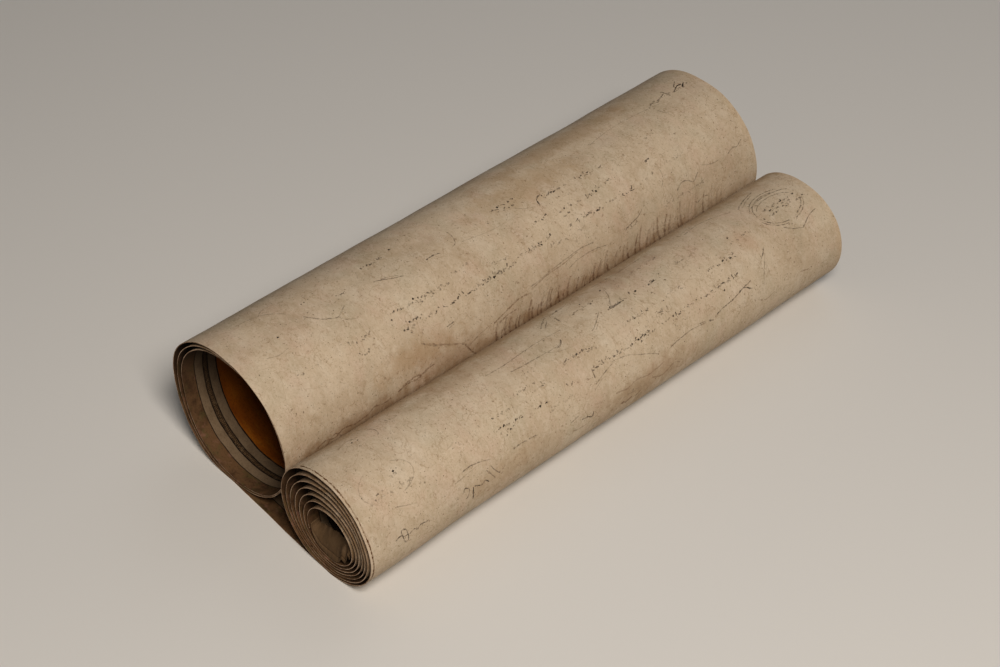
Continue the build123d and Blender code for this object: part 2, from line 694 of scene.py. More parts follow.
class Finish:
    """A matte paper finish. Each kind has a name, a relief in millimetres and a colour."""

    name: str
    relief: float

    def colour(self, tree: Tree, place: object) -> object:
        """Add the nodes for the colour.

        Args:
            tree: The material's tree.
            place: The place on the flat sheet, in millimetres.

        Returns:
            The node that gives the colour.
        """
        raise NotImplementedError

    def material(self) -> Material:
        """Make the material: matte, with the relief of matted fibres and a slow cockle.

        Returns:
            The material, which takes its place on the flat sheet from the mesh.
        """
        made = bpy.data.materials.new(self.name)
        made.use_nodes = True
        tree = made.node_tree
        tree.nodes.clear()
        flat = add(tree, "ShaderNodeAttribute", attribute_name=FLAT).outputs["Vector"]
        place = add(tree, VECTOR + "SCALE", {0: flat, "Scale": 1 / MM}).outputs[0]
        fibre = add(tree, NOISE, {"Vector": place, "Scale": 1 / 1.1, "Detail": 6.0, "Roughness": 0.7})
        drawn = add(tree, VECTOR + "MULTIPLY", {0: place, 1: (0.3, 1.0, 1.0)})
        cockle = add(tree, NOISE, {"Vector": drawn, "Scale": 1 / 15, "Detail": 3.0})
        height = add(tree, MULTIPLY_ADD, {0: cockle, 1: 5.0, 2: fibre})
        raised = {"Height": height, "Distance": self.relief * MM, "Strength": 1.0}
        shader = add(tree, "ShaderNodeBsdfPrincipled", {
            "Base Color": self.colour(tree, place), "Roughness": 0.88, "IOR": 1.45,
            "Specular IOR Level": 0.25, "Normal": add(tree, "ShaderNodeBump", raised),
        })
        add(tree, "ShaderNodeOutputMaterial", {"Surface": shader})
        return made


@dataclass(frozen=True)
class BarePaper(Finish):
    """Old rag paper with nothing on it. Its layers make it uneven, as handling and age do."""

    name: str
    base: str
    layers: tuple[Mottle, ...]
    relief: float

    def colour(self, tree: Tree, place: object) -> object:
        """Add the nodes for the colour at a place in millimetres, and give the last of them."""
        return mottled(tree, place, linear(self.base), self.layers)


# The cut edge is soft, worn and paler than the faces, with its fibres standing open.
CUT_EDGE = BarePaper(
    "aged_rag_paper_cut_edge", "#B89F88",
    (
        Mottle(16, "#6E523A", 0.85, 0.42, 0.62, 4.0), Mottle(3.5, "#D6C2AE", 0.5, 0.5, 0.7, 3.0),
        Mottle(0.8, "#6F543A", 0.5, 0.55, 0.75, 3.0),
    ),
    0.15,
)
# The core's crumpled end is dull brown, with darker uneven patches where it was handled.
CRUMPLED = BarePaper(
    "crumpled_rag_paper", "#64503A",
    (
        Mottle(9, "#46341F", 0.6, 0.45, 0.7, 3.0), Mottle(5, "#85705A", 0.5, 0.52, 0.72, 4.0),
        Mottle(1.5, "#3A2A18", 0.35, 0.52, 0.75, 4.0),
    ),
    0.1,
)


@dataclass(frozen=True)
class PrintedPaper(Finish):
    """Old rag paper, handled for years: matte beige, unevenly brown, with fibres and faint lines, and with
    painted shade in bands along the groove and past the small roll's top.
    """

    name: str
    strip: float
    base: str = "#C6B59E"
    relief: float = 0.09
    groove: float = 262.0  # how far along the big roll's face the other roll's shade starts

    def layers(self) -> tuple[Mottle, ...]:
        """List the layers of uneven colour.

        Returns:
            The layers, from wide clouds down to single fibres and specks.
        """
        return (
            Mottle(60, "#A8937A", 0.45, 0.42, 0.68),
            Mottle(34, "#ABA48E", 0.25, 0.5, 0.7, 2.0),
            Mottle(27, "#C8AB98", 0.3, 0.5, 0.7, 3.0),
            Mottle(20, "#D3C6B3", 0.4, 0.5, 0.7, 4.0),
            Mottle(9, "#9A8466", 0.3, 0.5, 0.75, 6.0),
            Mottle(3.0, "#DACCB9", 0.3, 0.5, 0.7, 5.0, (1.0, 0.7, 1.0)),
            Mottle(1.6, "#84704F", 0.3, 0.52, 0.74, 5.0, (0.7, 1.0, 1.0)),
            Mottle(1.0, "#65533C", 0.45, 0.6, 0.72, 3.0, (0.8, 1.0, 1.0)),
            Mottle(1.5, "#463828", 0.85, 0.69, 0.73, 2.0),
        )

    def stains(self) -> tuple[StainAndShade, ...]:
        """List the brown places and the painted shade.

        Returns:
            Painted shade in full-width bands along the groove and past the small roll's top and in patches by
            the groove, then stain marks at the rims and where the paper was handled.
        """
        groove, small = -self.groove, self.strip
        return (
            # Painted shade, these four lines: a full-width band and uneven patches along the groove where the
            # two rolls meet.
            StainAndShade(210, groove + 1, 420, 14, "#8A663E", 0.4),
            StainAndShade(60, groove + 6, 60, 13, "#7D5B38", 0.4),
            StainAndShade(140, groove + 10, 45, 20, "#86633E", 0.3),
            StainAndShade(250, groove + 6, 90, 14, "#86633E", 0.25),
            StainAndShade(110, -232, 40, 12, "#A07F58", 0.4),
            StainAndShade(240, -172, 60, 16, "#A98A62", 0.3),
            StainAndShade(300, -150, 80, 14, "#9C7C56", 0.35),
            StainAndShade(420, -190, 6, 130, "#C79A5C", 0.08),
            # Painted shade, this one line: a full-width band where the small roll's face turns past its top,
            # away from the light.
            StainAndShade(210, small + 150, 420, 12, "#9A774E", 0.4),
            StainAndShade(235, small + 58, 60, 14, "#8F6F4C", 0.4),
            StainAndShade(345, small + 107, 16, 15, "#A88060", 0.22),
            StainAndShade(110, small + 64, 40, 12, "#9C7C58", 0.25),
            StainAndShade(420, small + 90, 6, 110, "#C79A5C", 0.08),
            StainAndShade(258, small + 136, 46, 12, "#8E6E58", 0.3),
            StainAndShade(120, small + 134, 60, 10, "#94765A", 0.25),
        )

    def colour(self, tree: Tree, place: object) -> object:
        """Lay the uneven colour, the stain marks, the painted shade and the faint lines of the fibres.

        Args:
            tree: The material's tree.
            place: The place on the flat sheet, in millimetres.

        Returns:
            The node that gives the colour.
        """
        colour = mottled(tree, place, linear(self.base), self.layers())
        colour = stained_and_shaded(tree, place, colour, self.stains())
        contour = add(tree, NOISE, {"Vector": place, "Scale": 1 / 26, "Detail": 3.5, "Roughness": 0.55})
        middle = add(tree, SUBTRACT, {0: contour, 1: 0.5})
        off = add(tree, "ShaderNodeMath ABSOLUTE", {0: middle})
        thin = {"Value": off, "From Min": 0.001, "From Max": 0.007, "To Min": 0.3, "To Max": 0.0}
        return lay(tree, colour, "#86694A", add(tree, RANGE, thin))


@dataclass(frozen=True)
class Ink(Finish):
    """Printing ink sunk into rough paper, so that its edges are ragged and it breaks up inside."""

    name: str
    shade: str
    paper: PrintedPaper
    bite: float = 0.4  # how far the paper's grain eats into the ink
    soft: float = 0.3  # how much of the line's half width its edge takes to fade out
    relief: float = 0.09

    def colour(self, tree: Tree, place: object) -> object:
        """Lay the ink over the paper under it.

        Args:
            tree: The material's tree.
            place: The place on the flat sheet, in millimetres.

        Returns:
            The node that gives the colour.
        """
        under = self.paper.colour(tree, place)
        across, strength = (
            add(tree, "ShaderNodeAttribute", attribute_name=name).outputs["Fac"] for name in ("across", "ink")
        )
        side = add(tree, "ShaderNodeMath ABSOLUTE", {0: across})
        core = add(tree, SUBTRACT, {0: 1.0, 1: side})
        grain = add(tree, NOISE, {"Vector": place, "Scale": 1 / 0.9, "Detail": 4.0, "Roughness": 0.7})
        limits = {"From Min": 0.3, "From Max": 0.7, "To Min": -self.bite, "To Max": self.bite}
        edge = add(tree, ADD, {0: core, 1: add(tree, RANGE, {"Value": grain, **limits})})
        solid = add(tree, RANGE, {"Value": edge, "From Min": 0.0, "From Max": self.soft})
        patches = add(tree, NOISE, {"Vector": place, "Scale": 1 / 3.2, "Detail": 3.0, "Roughness": 0.65})
        limits = {"From Min": 0.4, "From Max": 0.56, "To Min": 0.35, "To Max": 1.1}
        worn = add(tree, RANGE, {"Value": patches, **limits})
        printed = add(tree, MULTIPLY, {0: solid, 1: worn})
        share = add(tree, MULTIPLY, {0: printed, 1: strength})
        return lay(tree, under, self.shade, share)


@dataclass(frozen=True)
class PaintedBack(Finish):
    """The inner face: a margin of bare, stain-marked paper, ruled border bands, then an amber-painted field.
    """

    name: str = "aged_rag_paper_painted_inner"
    relief: float = 0.08
    margin: str = "#684F37"
    line: str = "#140D08"
    beige: str = "#7E6C57"
    weave: str = "#3A2C1E"
    amber: str = "#A86518"
    reach: float = 40.0  # how far in from an edge the bands' scale runs
    weave_start: float = 17.1
    weave_end: float = 19.8
    bead: float = 1.3  # the size of the woven band's beads
    # Painted shade: between these two heights the inner face is painted darker with height.
    smoke_start: float = 0.03  # metres above the table, from where the face darkens with height
    smoke_end: float = 0.095

    def bands(self, tree: Tree, inset: object) -> Node:
        """Add the ruled bands.

        Args:
            tree: The material's tree.
            inset: The place in from the nearer edge, in millimetres.

        Returns:
            The node that gives their colour.
        """
        share = add(tree, DIVIDE, {0: inset, 1: self.reach})
        bands = add(tree, "ShaderNodeValToRGB", {"Fac": share})
        stops = (
            (9.5, self.margin), (9.6, self.line), (10.1, self.line), (10.2, self.beige),
            (16.2, self.beige), (16.3, self.line), (17.0, self.line), (self.weave_start, self.weave),
            (self.weave_end, self.weave), (19.9, self.line), (20.6, self.line), (20.7, self.beige),
            (26.8, self.beige), (26.9, self.line), (27.7, self.line), (27.8, self.amber),
        )
        ramp = bands.color_ramp
        while len(ramp.elements) > 1:
            ramp.elements.remove(ramp.elements[0])
        ramp.elements[0].position = 0.0
        ramp.elements[0].color = linear(self.margin)
        for place_mm, colour in stops:
            ramp.elements.new(place_mm / self.reach).color = linear(colour)
        return bands

    def colour(self, tree: Tree, place: object) -> object:
        """Lay the bands, the woven beads, the wear and the painted shade, which darkens the face with height.

        Args:
            tree: The material's tree.
            place: The place on the flat sheet, in millimetres.

        Returns:
            The node that gives the colour.
        """
        parts = add(tree, SEPARATE, {0: place}).outputs
        inset = add(tree, "ShaderNodeMath MINIMUM", {0: parts["X"], 1: parts["Z"]})
        shake = add(tree, NOISE, {"Vector": place, "Scale": 1 / 12, "Detail": 2.0})
        drawn = add(tree, RANGE, {"Value": shake, "To Min": -0.5, "To Max": 0.5})
        true = add(tree, ADD, {0: inset, 1: drawn})
        bands = self.bands(tree, true)
        mesh = add(tree, COMBINE, {0: true, 1: parts["Y"]})
        rows = {"Vector": mesh, "Scale": 1 / self.bead, "Randomness": 0.35}
        beads = add(tree, "ShaderNodeTexVoronoi", rows, voronoi_dimensions="2D").outputs["Distance"]
        bead, left, right, inner, rim = (
            add(tree, RANGE, {"Value": value, "From Min": low, "From Max": high})
            for value, low, high in (
                (beads, 0.5, 0.25), (true, self.weave_start, self.weave_start + 0.2),
                (true, self.weave_end, self.weave_end - 0.2), (true, 27.6, 28.2), (true, 10.2, 9.4),
            )
        )
        within = add(tree, MULTIPLY, {0: left, 1: right})
        shown = add(tree, MULTIPLY, {0: bead, 1: within})
        faint = add(tree, MULTIPLY, {0: shown, 1: 0.7})
        bands = lay(tree, bands, "#7A6247", faint)
        worn, plain, glow = (
            mottled(tree, place, bands, layers) for layers in (
                (
                    Mottle(14, "#2E1D0F", 0.75, 0.46, 0.68, 5.0), Mottle(9, "#5A5232", 0.6, 0.52, 0.68, 4.0),
                    Mottle(7, "#8A6658", 0.5, 0.55, 0.7, 4.0), Mottle(1.4, "#1F1409", 0.45, 0.54, 0.72, 4.0),
                ),
                (
                    Mottle(11, "#54422F", 0.5, 0.48, 0.75, 5.0), Mottle(4, "#8A7860", 0.3, 0.52, 0.75, 4.0),
                    Mottle(1.2, "#241910", 0.35, 0.5, 0.75, 3.0),
                ),
                (
                    Mottle(30, "#743A0A", 0.85, 0.42, 0.62, 2.0, (1.0, 0.5, 1.0)),
                    Mottle(7, "#B07A2A", 0.5, 0.52, 0.72, 3.0, (1.0, 0.3, 1.0)),
                    Mottle(1.5, "#4A2406", 0.4, 0.5, 0.7, 3.0),
                ),
            )
        )
        colour = lay(tree, lay(tree, plain, worn, rim), glow, inner)
        # Painted shade: the inner face is painted darker with height above the table, so the upper part of
        # each roll's mouth looks shaded.
        where = add(tree, "ShaderNodeTexCoord").outputs["Object"]
        height = add(tree, SEPARATE, {0: where}).outputs["Z"]
        rise = {"Value": height, "From Min": self.smoke_start, "From Max": self.smoke_end, "To Max": 0.8}
        return lay(tree, colour, "#1C110A", add(tree, RANGE, rise))


@dataclass(frozen=True)
class Stroke:
    """One drawn line on a roll's outer face: points as (from the near edge, along the roll's face)."""

    points: tuple[Point, ...]
    width: float
    ink: float


@dataclass(frozen=True)
class Oval:
    """Part of an oval drawn on a roll's outer face, in millimetres and degrees."""

    x: float
    along: float
    reach_x: float
    reach_along: float
    start: float
    sweep: float
    width: float
    ink: float

    def stroke(self) -> Stroke:
        """Draw the oval.

        Returns:
            The stroke.
        """
        count = max(4, round(abs(self.sweep) / 20))
        angles = [math.radians(self.start + self.sweep * i / count) for i in range(count + 1)]
        wide, tall = self.reach_x, self.reach_along
        points = [(self.x + wide * math.cos(a), self.along + tall * math.sin(a)) for a in angles]
        return Stroke(tuple(points), self.width, self.ink)


@dataclass(frozen=True)
class Marks:
    """How the marks repeat along a guide line. Sizes are in millimetres and degrees."""

    spacing: float
    keep: float
    length: float
    width: float
    scatter: float
    turn: float = 0.0
    spread: float = 30.0
    curl: float = 0.0
    taper: float = 0.0
    shortest: float = 0.35  # the shortest mark, as a share of the length
    faintest: float = 0.45
    seed: int = 1

    def inputs(self) -> dict[str, float]:
        """Work out the values for the mark tree's inputs.

        Returns:
            The values by name, in metres and radians.
        """
        lengths, angles = ("spacing", "length", "width", "scatter"), ("turn", "spread")
        values = {name.title(): value for name, value in vars(self).items()}
        values |= {name.title(): getattr(self, name) * MM for name in lengths}
        return values | {name.title(): math.radians(getattr(self, name)) for name in angles}


@dataclass(frozen=True)
class Printer:
    """Turns guide lines on the flat sheet into thin ribbons of ink and rolls them up with the sheet."""

    plan: SheetPlan
    roll_up: Tree
    section: Thing

    def guides(self, roll: Roll, strokes: list[Stroke]) -> Thing:
        """Make the guide lines as one mesh of edges.

        Args:
            roll: The roll that the strokes are on.
            strokes: The lines.

        Returns:
            The guide object, with each line's width and strength of ink on its points.
        """
        half, strip = self.plan.width / 2, self.plan.strip
        points, edges, widths, inks = [], [], [], []
        for stroke in strokes:
            first = len(points)
            for x, along in stroke.points:
                far_along = -along if roll is self.plan.big else strip + along
                points.append(((x - half) * MM, far_along * MM, 0.0))
            edges += [(i, i + 1) for i in range(first, len(points) - 1)]
            widths += [stroke.width * MM] * len(stroke.points)
            inks += [stroke.ink] * len(stroke.points)
        mesh = bpy.data.meshes.new("guides")
        mesh.from_pydata(points, edges, [])
        for name, values in (("width", widths), ("ink", inks)):
            mesh.attributes.new(name, "FLOAT", "POINT").data.foreach_set("value", values)
        return in_scene("guides", mesh)

    def ribbons(self, tree: Tree, lines: object, given: Node) -> None:
        """Add the nodes that make lines into rolled-up ribbons of ink, and end the tree with them.

        Args:
            tree: The tree that gets them.
            lines: The lines, as curves on the flat sheet.
            given: The tree's input node.
        """
        fine = add(tree, "GeometryNodeResampleCurve", {"Curve": lines, "Length": 0.6 * MM}, mode="LENGTH")
        here = add(tree, "GeometryNodeInputPosition")
        shake = add(tree, NOISE, {"Vector": here, "Scale": 1 / (1.6 * MM), "Detail": 2.0})
        centred = add(tree, VECTOR + "SUBTRACT", {0: shake.outputs["Color"], 1: (0.5, 0.5, 0.5)})
        wander = add(tree, VECTOR + "MULTIPLY", {0: centred, 1: (0.9 * MM, 0.9 * MM, 0)})
        shaky = add(tree, MOVE, {"Geometry": fine, "Offset": wander})
        share = add(tree, "GeometryNodeSplineParameter").outputs["Factor"]
        loss = add(tree, MULTIPLY, {0: share, 1: given.outputs["Taper"]})
        body = add(tree, SUBTRACT, {0: 1.0, 1: loss})
        swell = add(tree, NOISE, {"Vector": here, "Scale": 1 / (2.2 * MM), "Detail": 2.0})
        limits = {"From Min": 0.3, "From Max": 0.7, "To Min": 0.45, "To Max": 1.6}
        uneven = add(tree, RANGE, {"Value": swell, **limits})
        whole = add(tree, MULTIPLY, {0: body, 1: uneven})
        width, full = (add(tree, READ, {"Name": name}, data_type="FLOAT") for name in ("width", "ink"))
        scale = add(tree, MULTIPLY, {0: whole, 1: width})
        paler = add(tree, MULTIPLY_ADD, {0: loss, 1: -0.4, 2: 1.0})
        thinned = add(tree, MULTIPLY, {0: full, 1: paler})
        inked = add(tree, STORE, {"Geometry": shaky, "Name": "ink", "Value": thinned}, data_type="FLOAT")
        upright = add(tree, "GeometryNodeSetCurveNormal", {"Curve": inked}, mode="Z_UP")
        profile = add(tree, "GeometryNodeCurvePrimitiveQuadrilateral", {"Width": 1.0, "Height": 0.08})
        corner = add(tree, SEPARATE, {0: here})
        across = add(tree, MULTIPLY, {0: corner.outputs["X"], 1: 2.0})
        wanted = {"Geometry": profile, "Name": "across", "Value": across}
        edged = add(tree, STORE, wanted, data_type="FLOAT")
        sweep = {"Curve": upright, "Profile Curve": edged, "Scale": scale, "Fill Caps": True}
        inputs = {"Geometry": creased(tree, add(tree, "GeometryNodeCurveToMesh", sweep))}
        inputs |= {name: given.outputs[name] for name in ("Section", "Start", "Span")}
        rolled = add(tree, "GeometryNodeGroup", node_tree=self.roll_up, inputs=inputs)
        real = add(tree, "GeometryNodeRealizeInstances", {0: rolled})
        dressed = {"Geometry": real, "Material": given.outputs["Ink"]}
        add(tree, "NodeGroupOutput", {0: add(tree, "GeometryNodeSetMaterial", dressed)})

    def start(self, name: str, extra: dict[str, str]) -> tuple[Tree, Node, Node]:
        """Start a tree that follows guide lines.

        Args:
            name: The tree's name.
            extra: The name and kind of its inputs beyond those that every such tree has.

        Returns:
            The tree, its input node and the node that gives the guides as curves.
        """
        kinds = {"Guides": "Object", "Section": "Object", "Start": "Float", "Span": "Float"}
        tree, given = new_tree(name, {**kinds, "Taper": "Float", "Ink": "Material", **extra})
        guides = add(tree, "GeometryNodeObjectInfo", {"Object": given.outputs["Guides"]})
        lines = add(tree, "GeometryNodeMeshToCurve", {"Mesh": guides.outputs["Geometry"]})
        return tree, given, lines

    def line_tree(self) -> Tree:
        """Build the tree for drawn lines.

        Returns:
            The tree, whose lines follow their guides.
        """
        tree, given, lines = self.start("drawn lines", {})
        smooth = add(tree, "GeometryNodeCurveSplineType", {"Curve": lines}, spline_type="CATMULL_ROM")
        self.ribbons(tree, smooth, given)
        return tree

    def mark_tree(self) -> Tree:
        """Build the tree for short marks that repeat along their guides.

        Returns:
            The tree, whose further inputs are the fields of Marks.
        """
        names = "Spacing Keep Length Width Scatter Turn Spread Curl Shortest Faintest".split()
        tree, given, lines = self.start("repeated marks", {**dict.fromkeys(names, "Float"), "Seed": "Int"})
        size = given.outputs
        seed = size["Seed"]
        paced = {"Curve": lines, "Length": size["Spacing"]}
        stops = add(tree, "GeometryNodeResampleCurve", paced, mode="LENGTH")
        points = add(tree, "GeometryNodeCurveToPoints", {"Curve": stops}, mode="EVALUATED")
        low = add(tree, MULTIPLY, {0: size["Scatter"], 1: -1.0})
        limits = {
            "Min": add(tree, COMBINE, {0: low, 1: low}),
            "Max": add(tree, COMBINE, {0: size["Scatter"], 1: size["Scatter"]}),
        }
        jitter = add(tree, RANDOM, {**limits, "Seed": seed}, data_type="FLOAT_VECTOR")
        strewn = add(tree, MOVE, {"Geometry": pick(points.outputs, "Points"), "Offset": jitter})
        odds = {"Probability": size["Keep"], "Seed": seed}
        chosen = add(tree, RANDOM, odds, data_type="BOOLEAN")
        bend = add(tree, COMBINE, {0: 0.5, 1: size["Curl"]})
        shape = {"Resolution": 6, "Start": (0, 0, 0), "Middle": bend, "End": (1, 0, 0)}
        mark = add(tree, "GeometryNodeCurveQuadraticBezier", shape)
        opposite = add(tree, MULTIPLY, {0: size["Spread"], 1: -1.0})
        short = add(tree, MULTIPLY, {0: size["Length"], 1: size["Shortest"]})
        long = add(tree, MULTIPLY, {0: size["Length"], 1: 1.25})
        later = add(tree, ADD, {0: seed, 1: 7.0})
        swing, reach, vary, fade = (
            add(tree, RANDOM, {"Min": least, "Max": most, "Seed": start}, data_type="FLOAT")
            for least, most, start in (
                (opposite, size["Spread"], seed), (short, long, later),
                (0.6, 1.3, later), (size["Faintest"], 1.15, seed),
            )
        )
        heading = add(tree, ADD, {0: size["Turn"], 1: swing})
        turned = add(tree, COMBINE, {2: heading})
        marks = add(tree, "GeometryNodeInstanceOnPoints", {
            "Points": strewn, "Selection": chosen, "Instance": mark,
            "Rotation": add(tree, "FunctionNodeEulerToRotation", {0: turned}), "Scale": reach,
        })
        full = add(tree, READ, {"Name": "ink"}, data_type="FLOAT")
        for name, first, second in (("width", size["Width"], vary), ("ink", full, fade)):
            value = add(tree, MULTIPLY, {0: first, 1: second})
            wanted = {"Geometry": marks, "Name": name, "Value": value}
            marks = add(tree, STORE, wanted, data_type="FLOAT", domain="INSTANCE")
        self.ribbons(tree, add(tree, "GeometryNodeRealizeInstances", {0: marks}), given)
        return tree

    def print(self, name: str, tree: Tree, roll: Roll, strokes: list[Stroke], values: dict) -> None:
        """Print drawn lines or repeated marks as one piece.

        Args:
            name: The piece's name.
            tree: The tree for drawn lines or the one for repeated marks.
            roll: The roll that they are on.
            strokes: The lines, or the guide lines that the marks stand on.
            values: The tree's own inputs, such as the ink.
        """
        turn = self.plan.turn(roll) * MM
        start = -turn if roll is self.plan.big else self.plan.strip * MM
        guides = self.guides(roll, strokes)
        lie = {"Guides": guides, "Section": self.section, "Start": start, "Span": turn * OUTER_SHARE}
        piece = run_tree(name, tree, {**lie, **values})
        bpy.data.objects.remove(guides)
        dress(piece)


@dataclass(frozen=True)
class RollPrint:
    """What one roll's outer face carries. Every place is (from the near edge, along the roll's face).

    A line is its width, its strength of ink, then its points. A row of marks is its start, its end,
    its place along the face and its strength. A speck is its place and its width.
    """

    ovals: tuple[Oval, ...]
    lines: tuple[tuple[float, ...], ...]
    brown: tuple[tuple[float, ...], ...]  # broad brown scribbles
    rows: tuple[tuple[float, float, float, float], ...]
    specks: tuple[Space, ...]
    traces: Point  # where the rows of faint marks start, and how many there are

    def drawn(self, rows: tuple[tuple[float, ...], ...]) -> list[Stroke]:
        """Read lines into strokes."""
        return [Stroke(tuple(zip(row[2::2], row[3::2])), row[0], row[1]) for row in rows]

    def ink_lines(self) -> list[Stroke]:
        """Give the thin drawn lines and the single dark specks."""
        spots = [Stroke(((x - w / 3, s - 0.4), (x + w / 3, s + 0.5)), w, 0.95) for x, s, w in self.specks]
        return [*[oval.stroke() for oval in self.ovals], *self.drawn(self.lines), *spots]

    def guides(self) -> list[Stroke]:
        """Give the guide lines of the rows of small marks."""
        return [Stroke(((a, s), ((a + b) / 2, s + 0.5), (b, s)), 1.0, ink) for a, b, s, ink in self.rows]

    def faint_guides(self) -> list[Stroke]:
        """Set out the faint marks that cover the whole face.

        Returns:
            Their guide lines.
        """
        start, count = self.traces
        places = [start + 4.5 * i for i in range(count)]
        return [Stroke(((6, s), (210, s + 1), (414, s)), 1.0, 0.4) for s in places]


BIG_PRINT = RollPrint(
    ovals=(),
    lines=(
        (0.8, 0.4, 23, 150, 31, 151, 40, 153, 47, 158, 53, 164), (0.7, 0.3, 40, 153, 46, 149, 54, 150),
        (0.9, 0.5, 59, 173, 66, 181, 71, 184, 76, 186, 80, 184, 85, 181),
        (0.7, 0.35, 76, 186, 79, 190, 85, 193), (0.7, 0.25, 20, 186, 28, 188, 36, 187),
        (0.9, 0.6, 112, 177, 118, 179, 124, 182, 131, 184), (0.7, 0.45, 117, 178, 123, 179.5, 128, 182),
        (0.9, 0.7, 151, 182.5, 157, 182, 162, 183.5), (0.8, 0.6, 172, 184, 176, 182, 178, 176, 178, 172),
        (0.7, 0.4, 107, 168, 110, 162), (0.9, 0.6, 137, 226.5, 143, 226), (0.7, 0.4, 138, 228, 142, 227.6),
        (0.9, 0.5, 115, 227, 122, 232, 130, 236, 140, 240, 146, 244, 150, 247),
        (0.8, 0.4, 207, 233, 217, 232, 229, 230, 240, 229, 252, 228, 265, 229),
        (0.8, 0.45, 240, 236, 248, 234, 258, 233.5, 266, 234, 275, 236),
        (0.7, 0.3, 226, 181, 232, 186, 240, 189), (1.2, 0.95, 243.5, 190, 244, 186, 246, 184, 249.5, 183),
        (1.3, 0.95, 331, 200.8, 335.5, 199.6), (0.9, 0.55, 294, 233, 300, 231.5, 306, 230, 311, 227),
        (0.8, 0.4, 297, 235, 304, 233), (0.9, 0.55, 344, 229, 349, 225.5, 355, 226, 360, 229, 366, 225),
        (0.7, 0.35, 371, 222, 380, 225, 388, 225), (0.9, 0.55, 396, 225, 401, 223, 406, 223.5, 411, 221),
        (0.9, 0.5, 357, 247, 363, 244, 368, 243.5, 374, 246),
        (0.8, 0.3, 310, 168, 330, 165, 352, 165, 378, 168),
        (1.0, 0.85, 381, 164, 385.5, 162.3, 389, 161.5, 392, 164),
        (1.1, 0.8, 388.5, 158.5, 389.3, 162, 390, 166),
        (1.3, 1.0, 394.5, 165, 399, 162.5, 402, 161, 405.5, 161.4),
        (1.4, 1.0, 403.5, 165, 406, 162.6, 408.5, 160.8), (1.0, 0.75, 399, 160.5, 403, 157.4, 406, 155),
        (0.9, 0.6, 369, 166.5, 373.5, 164, 378, 165.4, 382, 163.8),
        (0.8, 0.4, 371, 172, 372.5, 176, 375, 179), (0.7, 0.22, 180, 184, 196, 187, 214, 188, 226, 187),
        (0.7, 0.3, 333, 221, 337, 216, 338, 210, 336, 206),
    ),
    brown=(
        (1.5, 0.55, 24, 254, 32, 252, 39, 254, 46, 251, 55, 253, 66, 252),
        (1.2, 0.45, 32, 256, 39, 251, 44, 256), (1.3, 0.5, 66, 252, 71, 249, 78, 251, 84, 250),
        (1.5, 0.6, 90, 249, 98, 247, 106, 248, 114, 245.5, 121, 245),
        (1.2, 0.5, 94, 247, 104, 245.5, 112, 247, 119, 243),
        (1.6, 0.45, 118, 229, 127, 234, 137, 239, 146, 243),
        (1.5, 0.6, 146, 243, 149, 248, 152, 253, 156, 258), (1.1, 0.4, 150, 247, 158, 244, 166, 242),
        (1.4, 0.55, 172, 242, 179, 240, 186, 238, 196, 236, 206, 237),
        (1.2, 0.45, 176, 244, 184, 242, 192, 242), (1.1, 0.4, 207, 235, 220, 232, 236, 231, 250, 229),
    ),
    rows=(
        (105, 150, 202, 0.75), (108, 196, 214.5, 0.85), (112, 124, 212, 0.9), (126, 152, 204, 0.7),
        (115, 131, 162, 0.8), (66, 71, 163, 0.9), (86, 92, 172, 0.8), (206, 236, 211.5, 0.85),
        (218, 226, 211.3, 1.0), (250, 272, 211.3, 0.8), (270, 287, 211.6, 1.0), (288, 294, 211.4, 0.85),
        (298, 311, 211.8, 0.95), (316, 330, 211, 0.7), (212, 232, 175, 1.0), (216, 230, 179, 0.9),
        (250, 263, 186, 0.9), (264, 274, 185.8, 0.9), (280, 302, 187, 0.85), (232, 240, 198, 0.85),
        (250, 262, 200, 0.9), (252, 260, 204, 0.7), (268, 284, 201, 0.85), (286, 300, 199, 0.6),
        (158, 172, 199, 0.55), (176, 206, 213.5, 0.75), (186, 202, 208, 0.5), (232, 262, 217, 0.45),
        (292, 304, 233, 0.6), (330, 368, 233, 0.4), (376, 410, 164, 0.7), (340, 362, 208, 0.35),
        (70, 88, 205, 0.55), (74, 80, 214, 0.8), (30, 50, 205, 0.3), (330, 350, 186, 0.3),
    ),
    specks=(
        (36, 177, 1.5), (68, 163, 1.2), (89, 172.5, 1.1), (140, 159.5, 1.7), (108, 214.5, 1.6),
        (104, 205, 1.1), (125, 200.5, 1.3), (137, 213, 1.2), (80, 213, 1.2), (87, 209, 1.0),
        (237.5, 199, 1.4), (281, 201, 1.1), (259, 191, 1.0), (112, 218, 1.1), (204, 182, 0.9),
    ),
    traces=(132, 29),
)
OVAL_ARCS = ((0, 60, 95), (2.2, 70, 110), (0, 200, 60), (1.8, 190, 75), (0.5, 280, 60), (2.5, 290, 55))
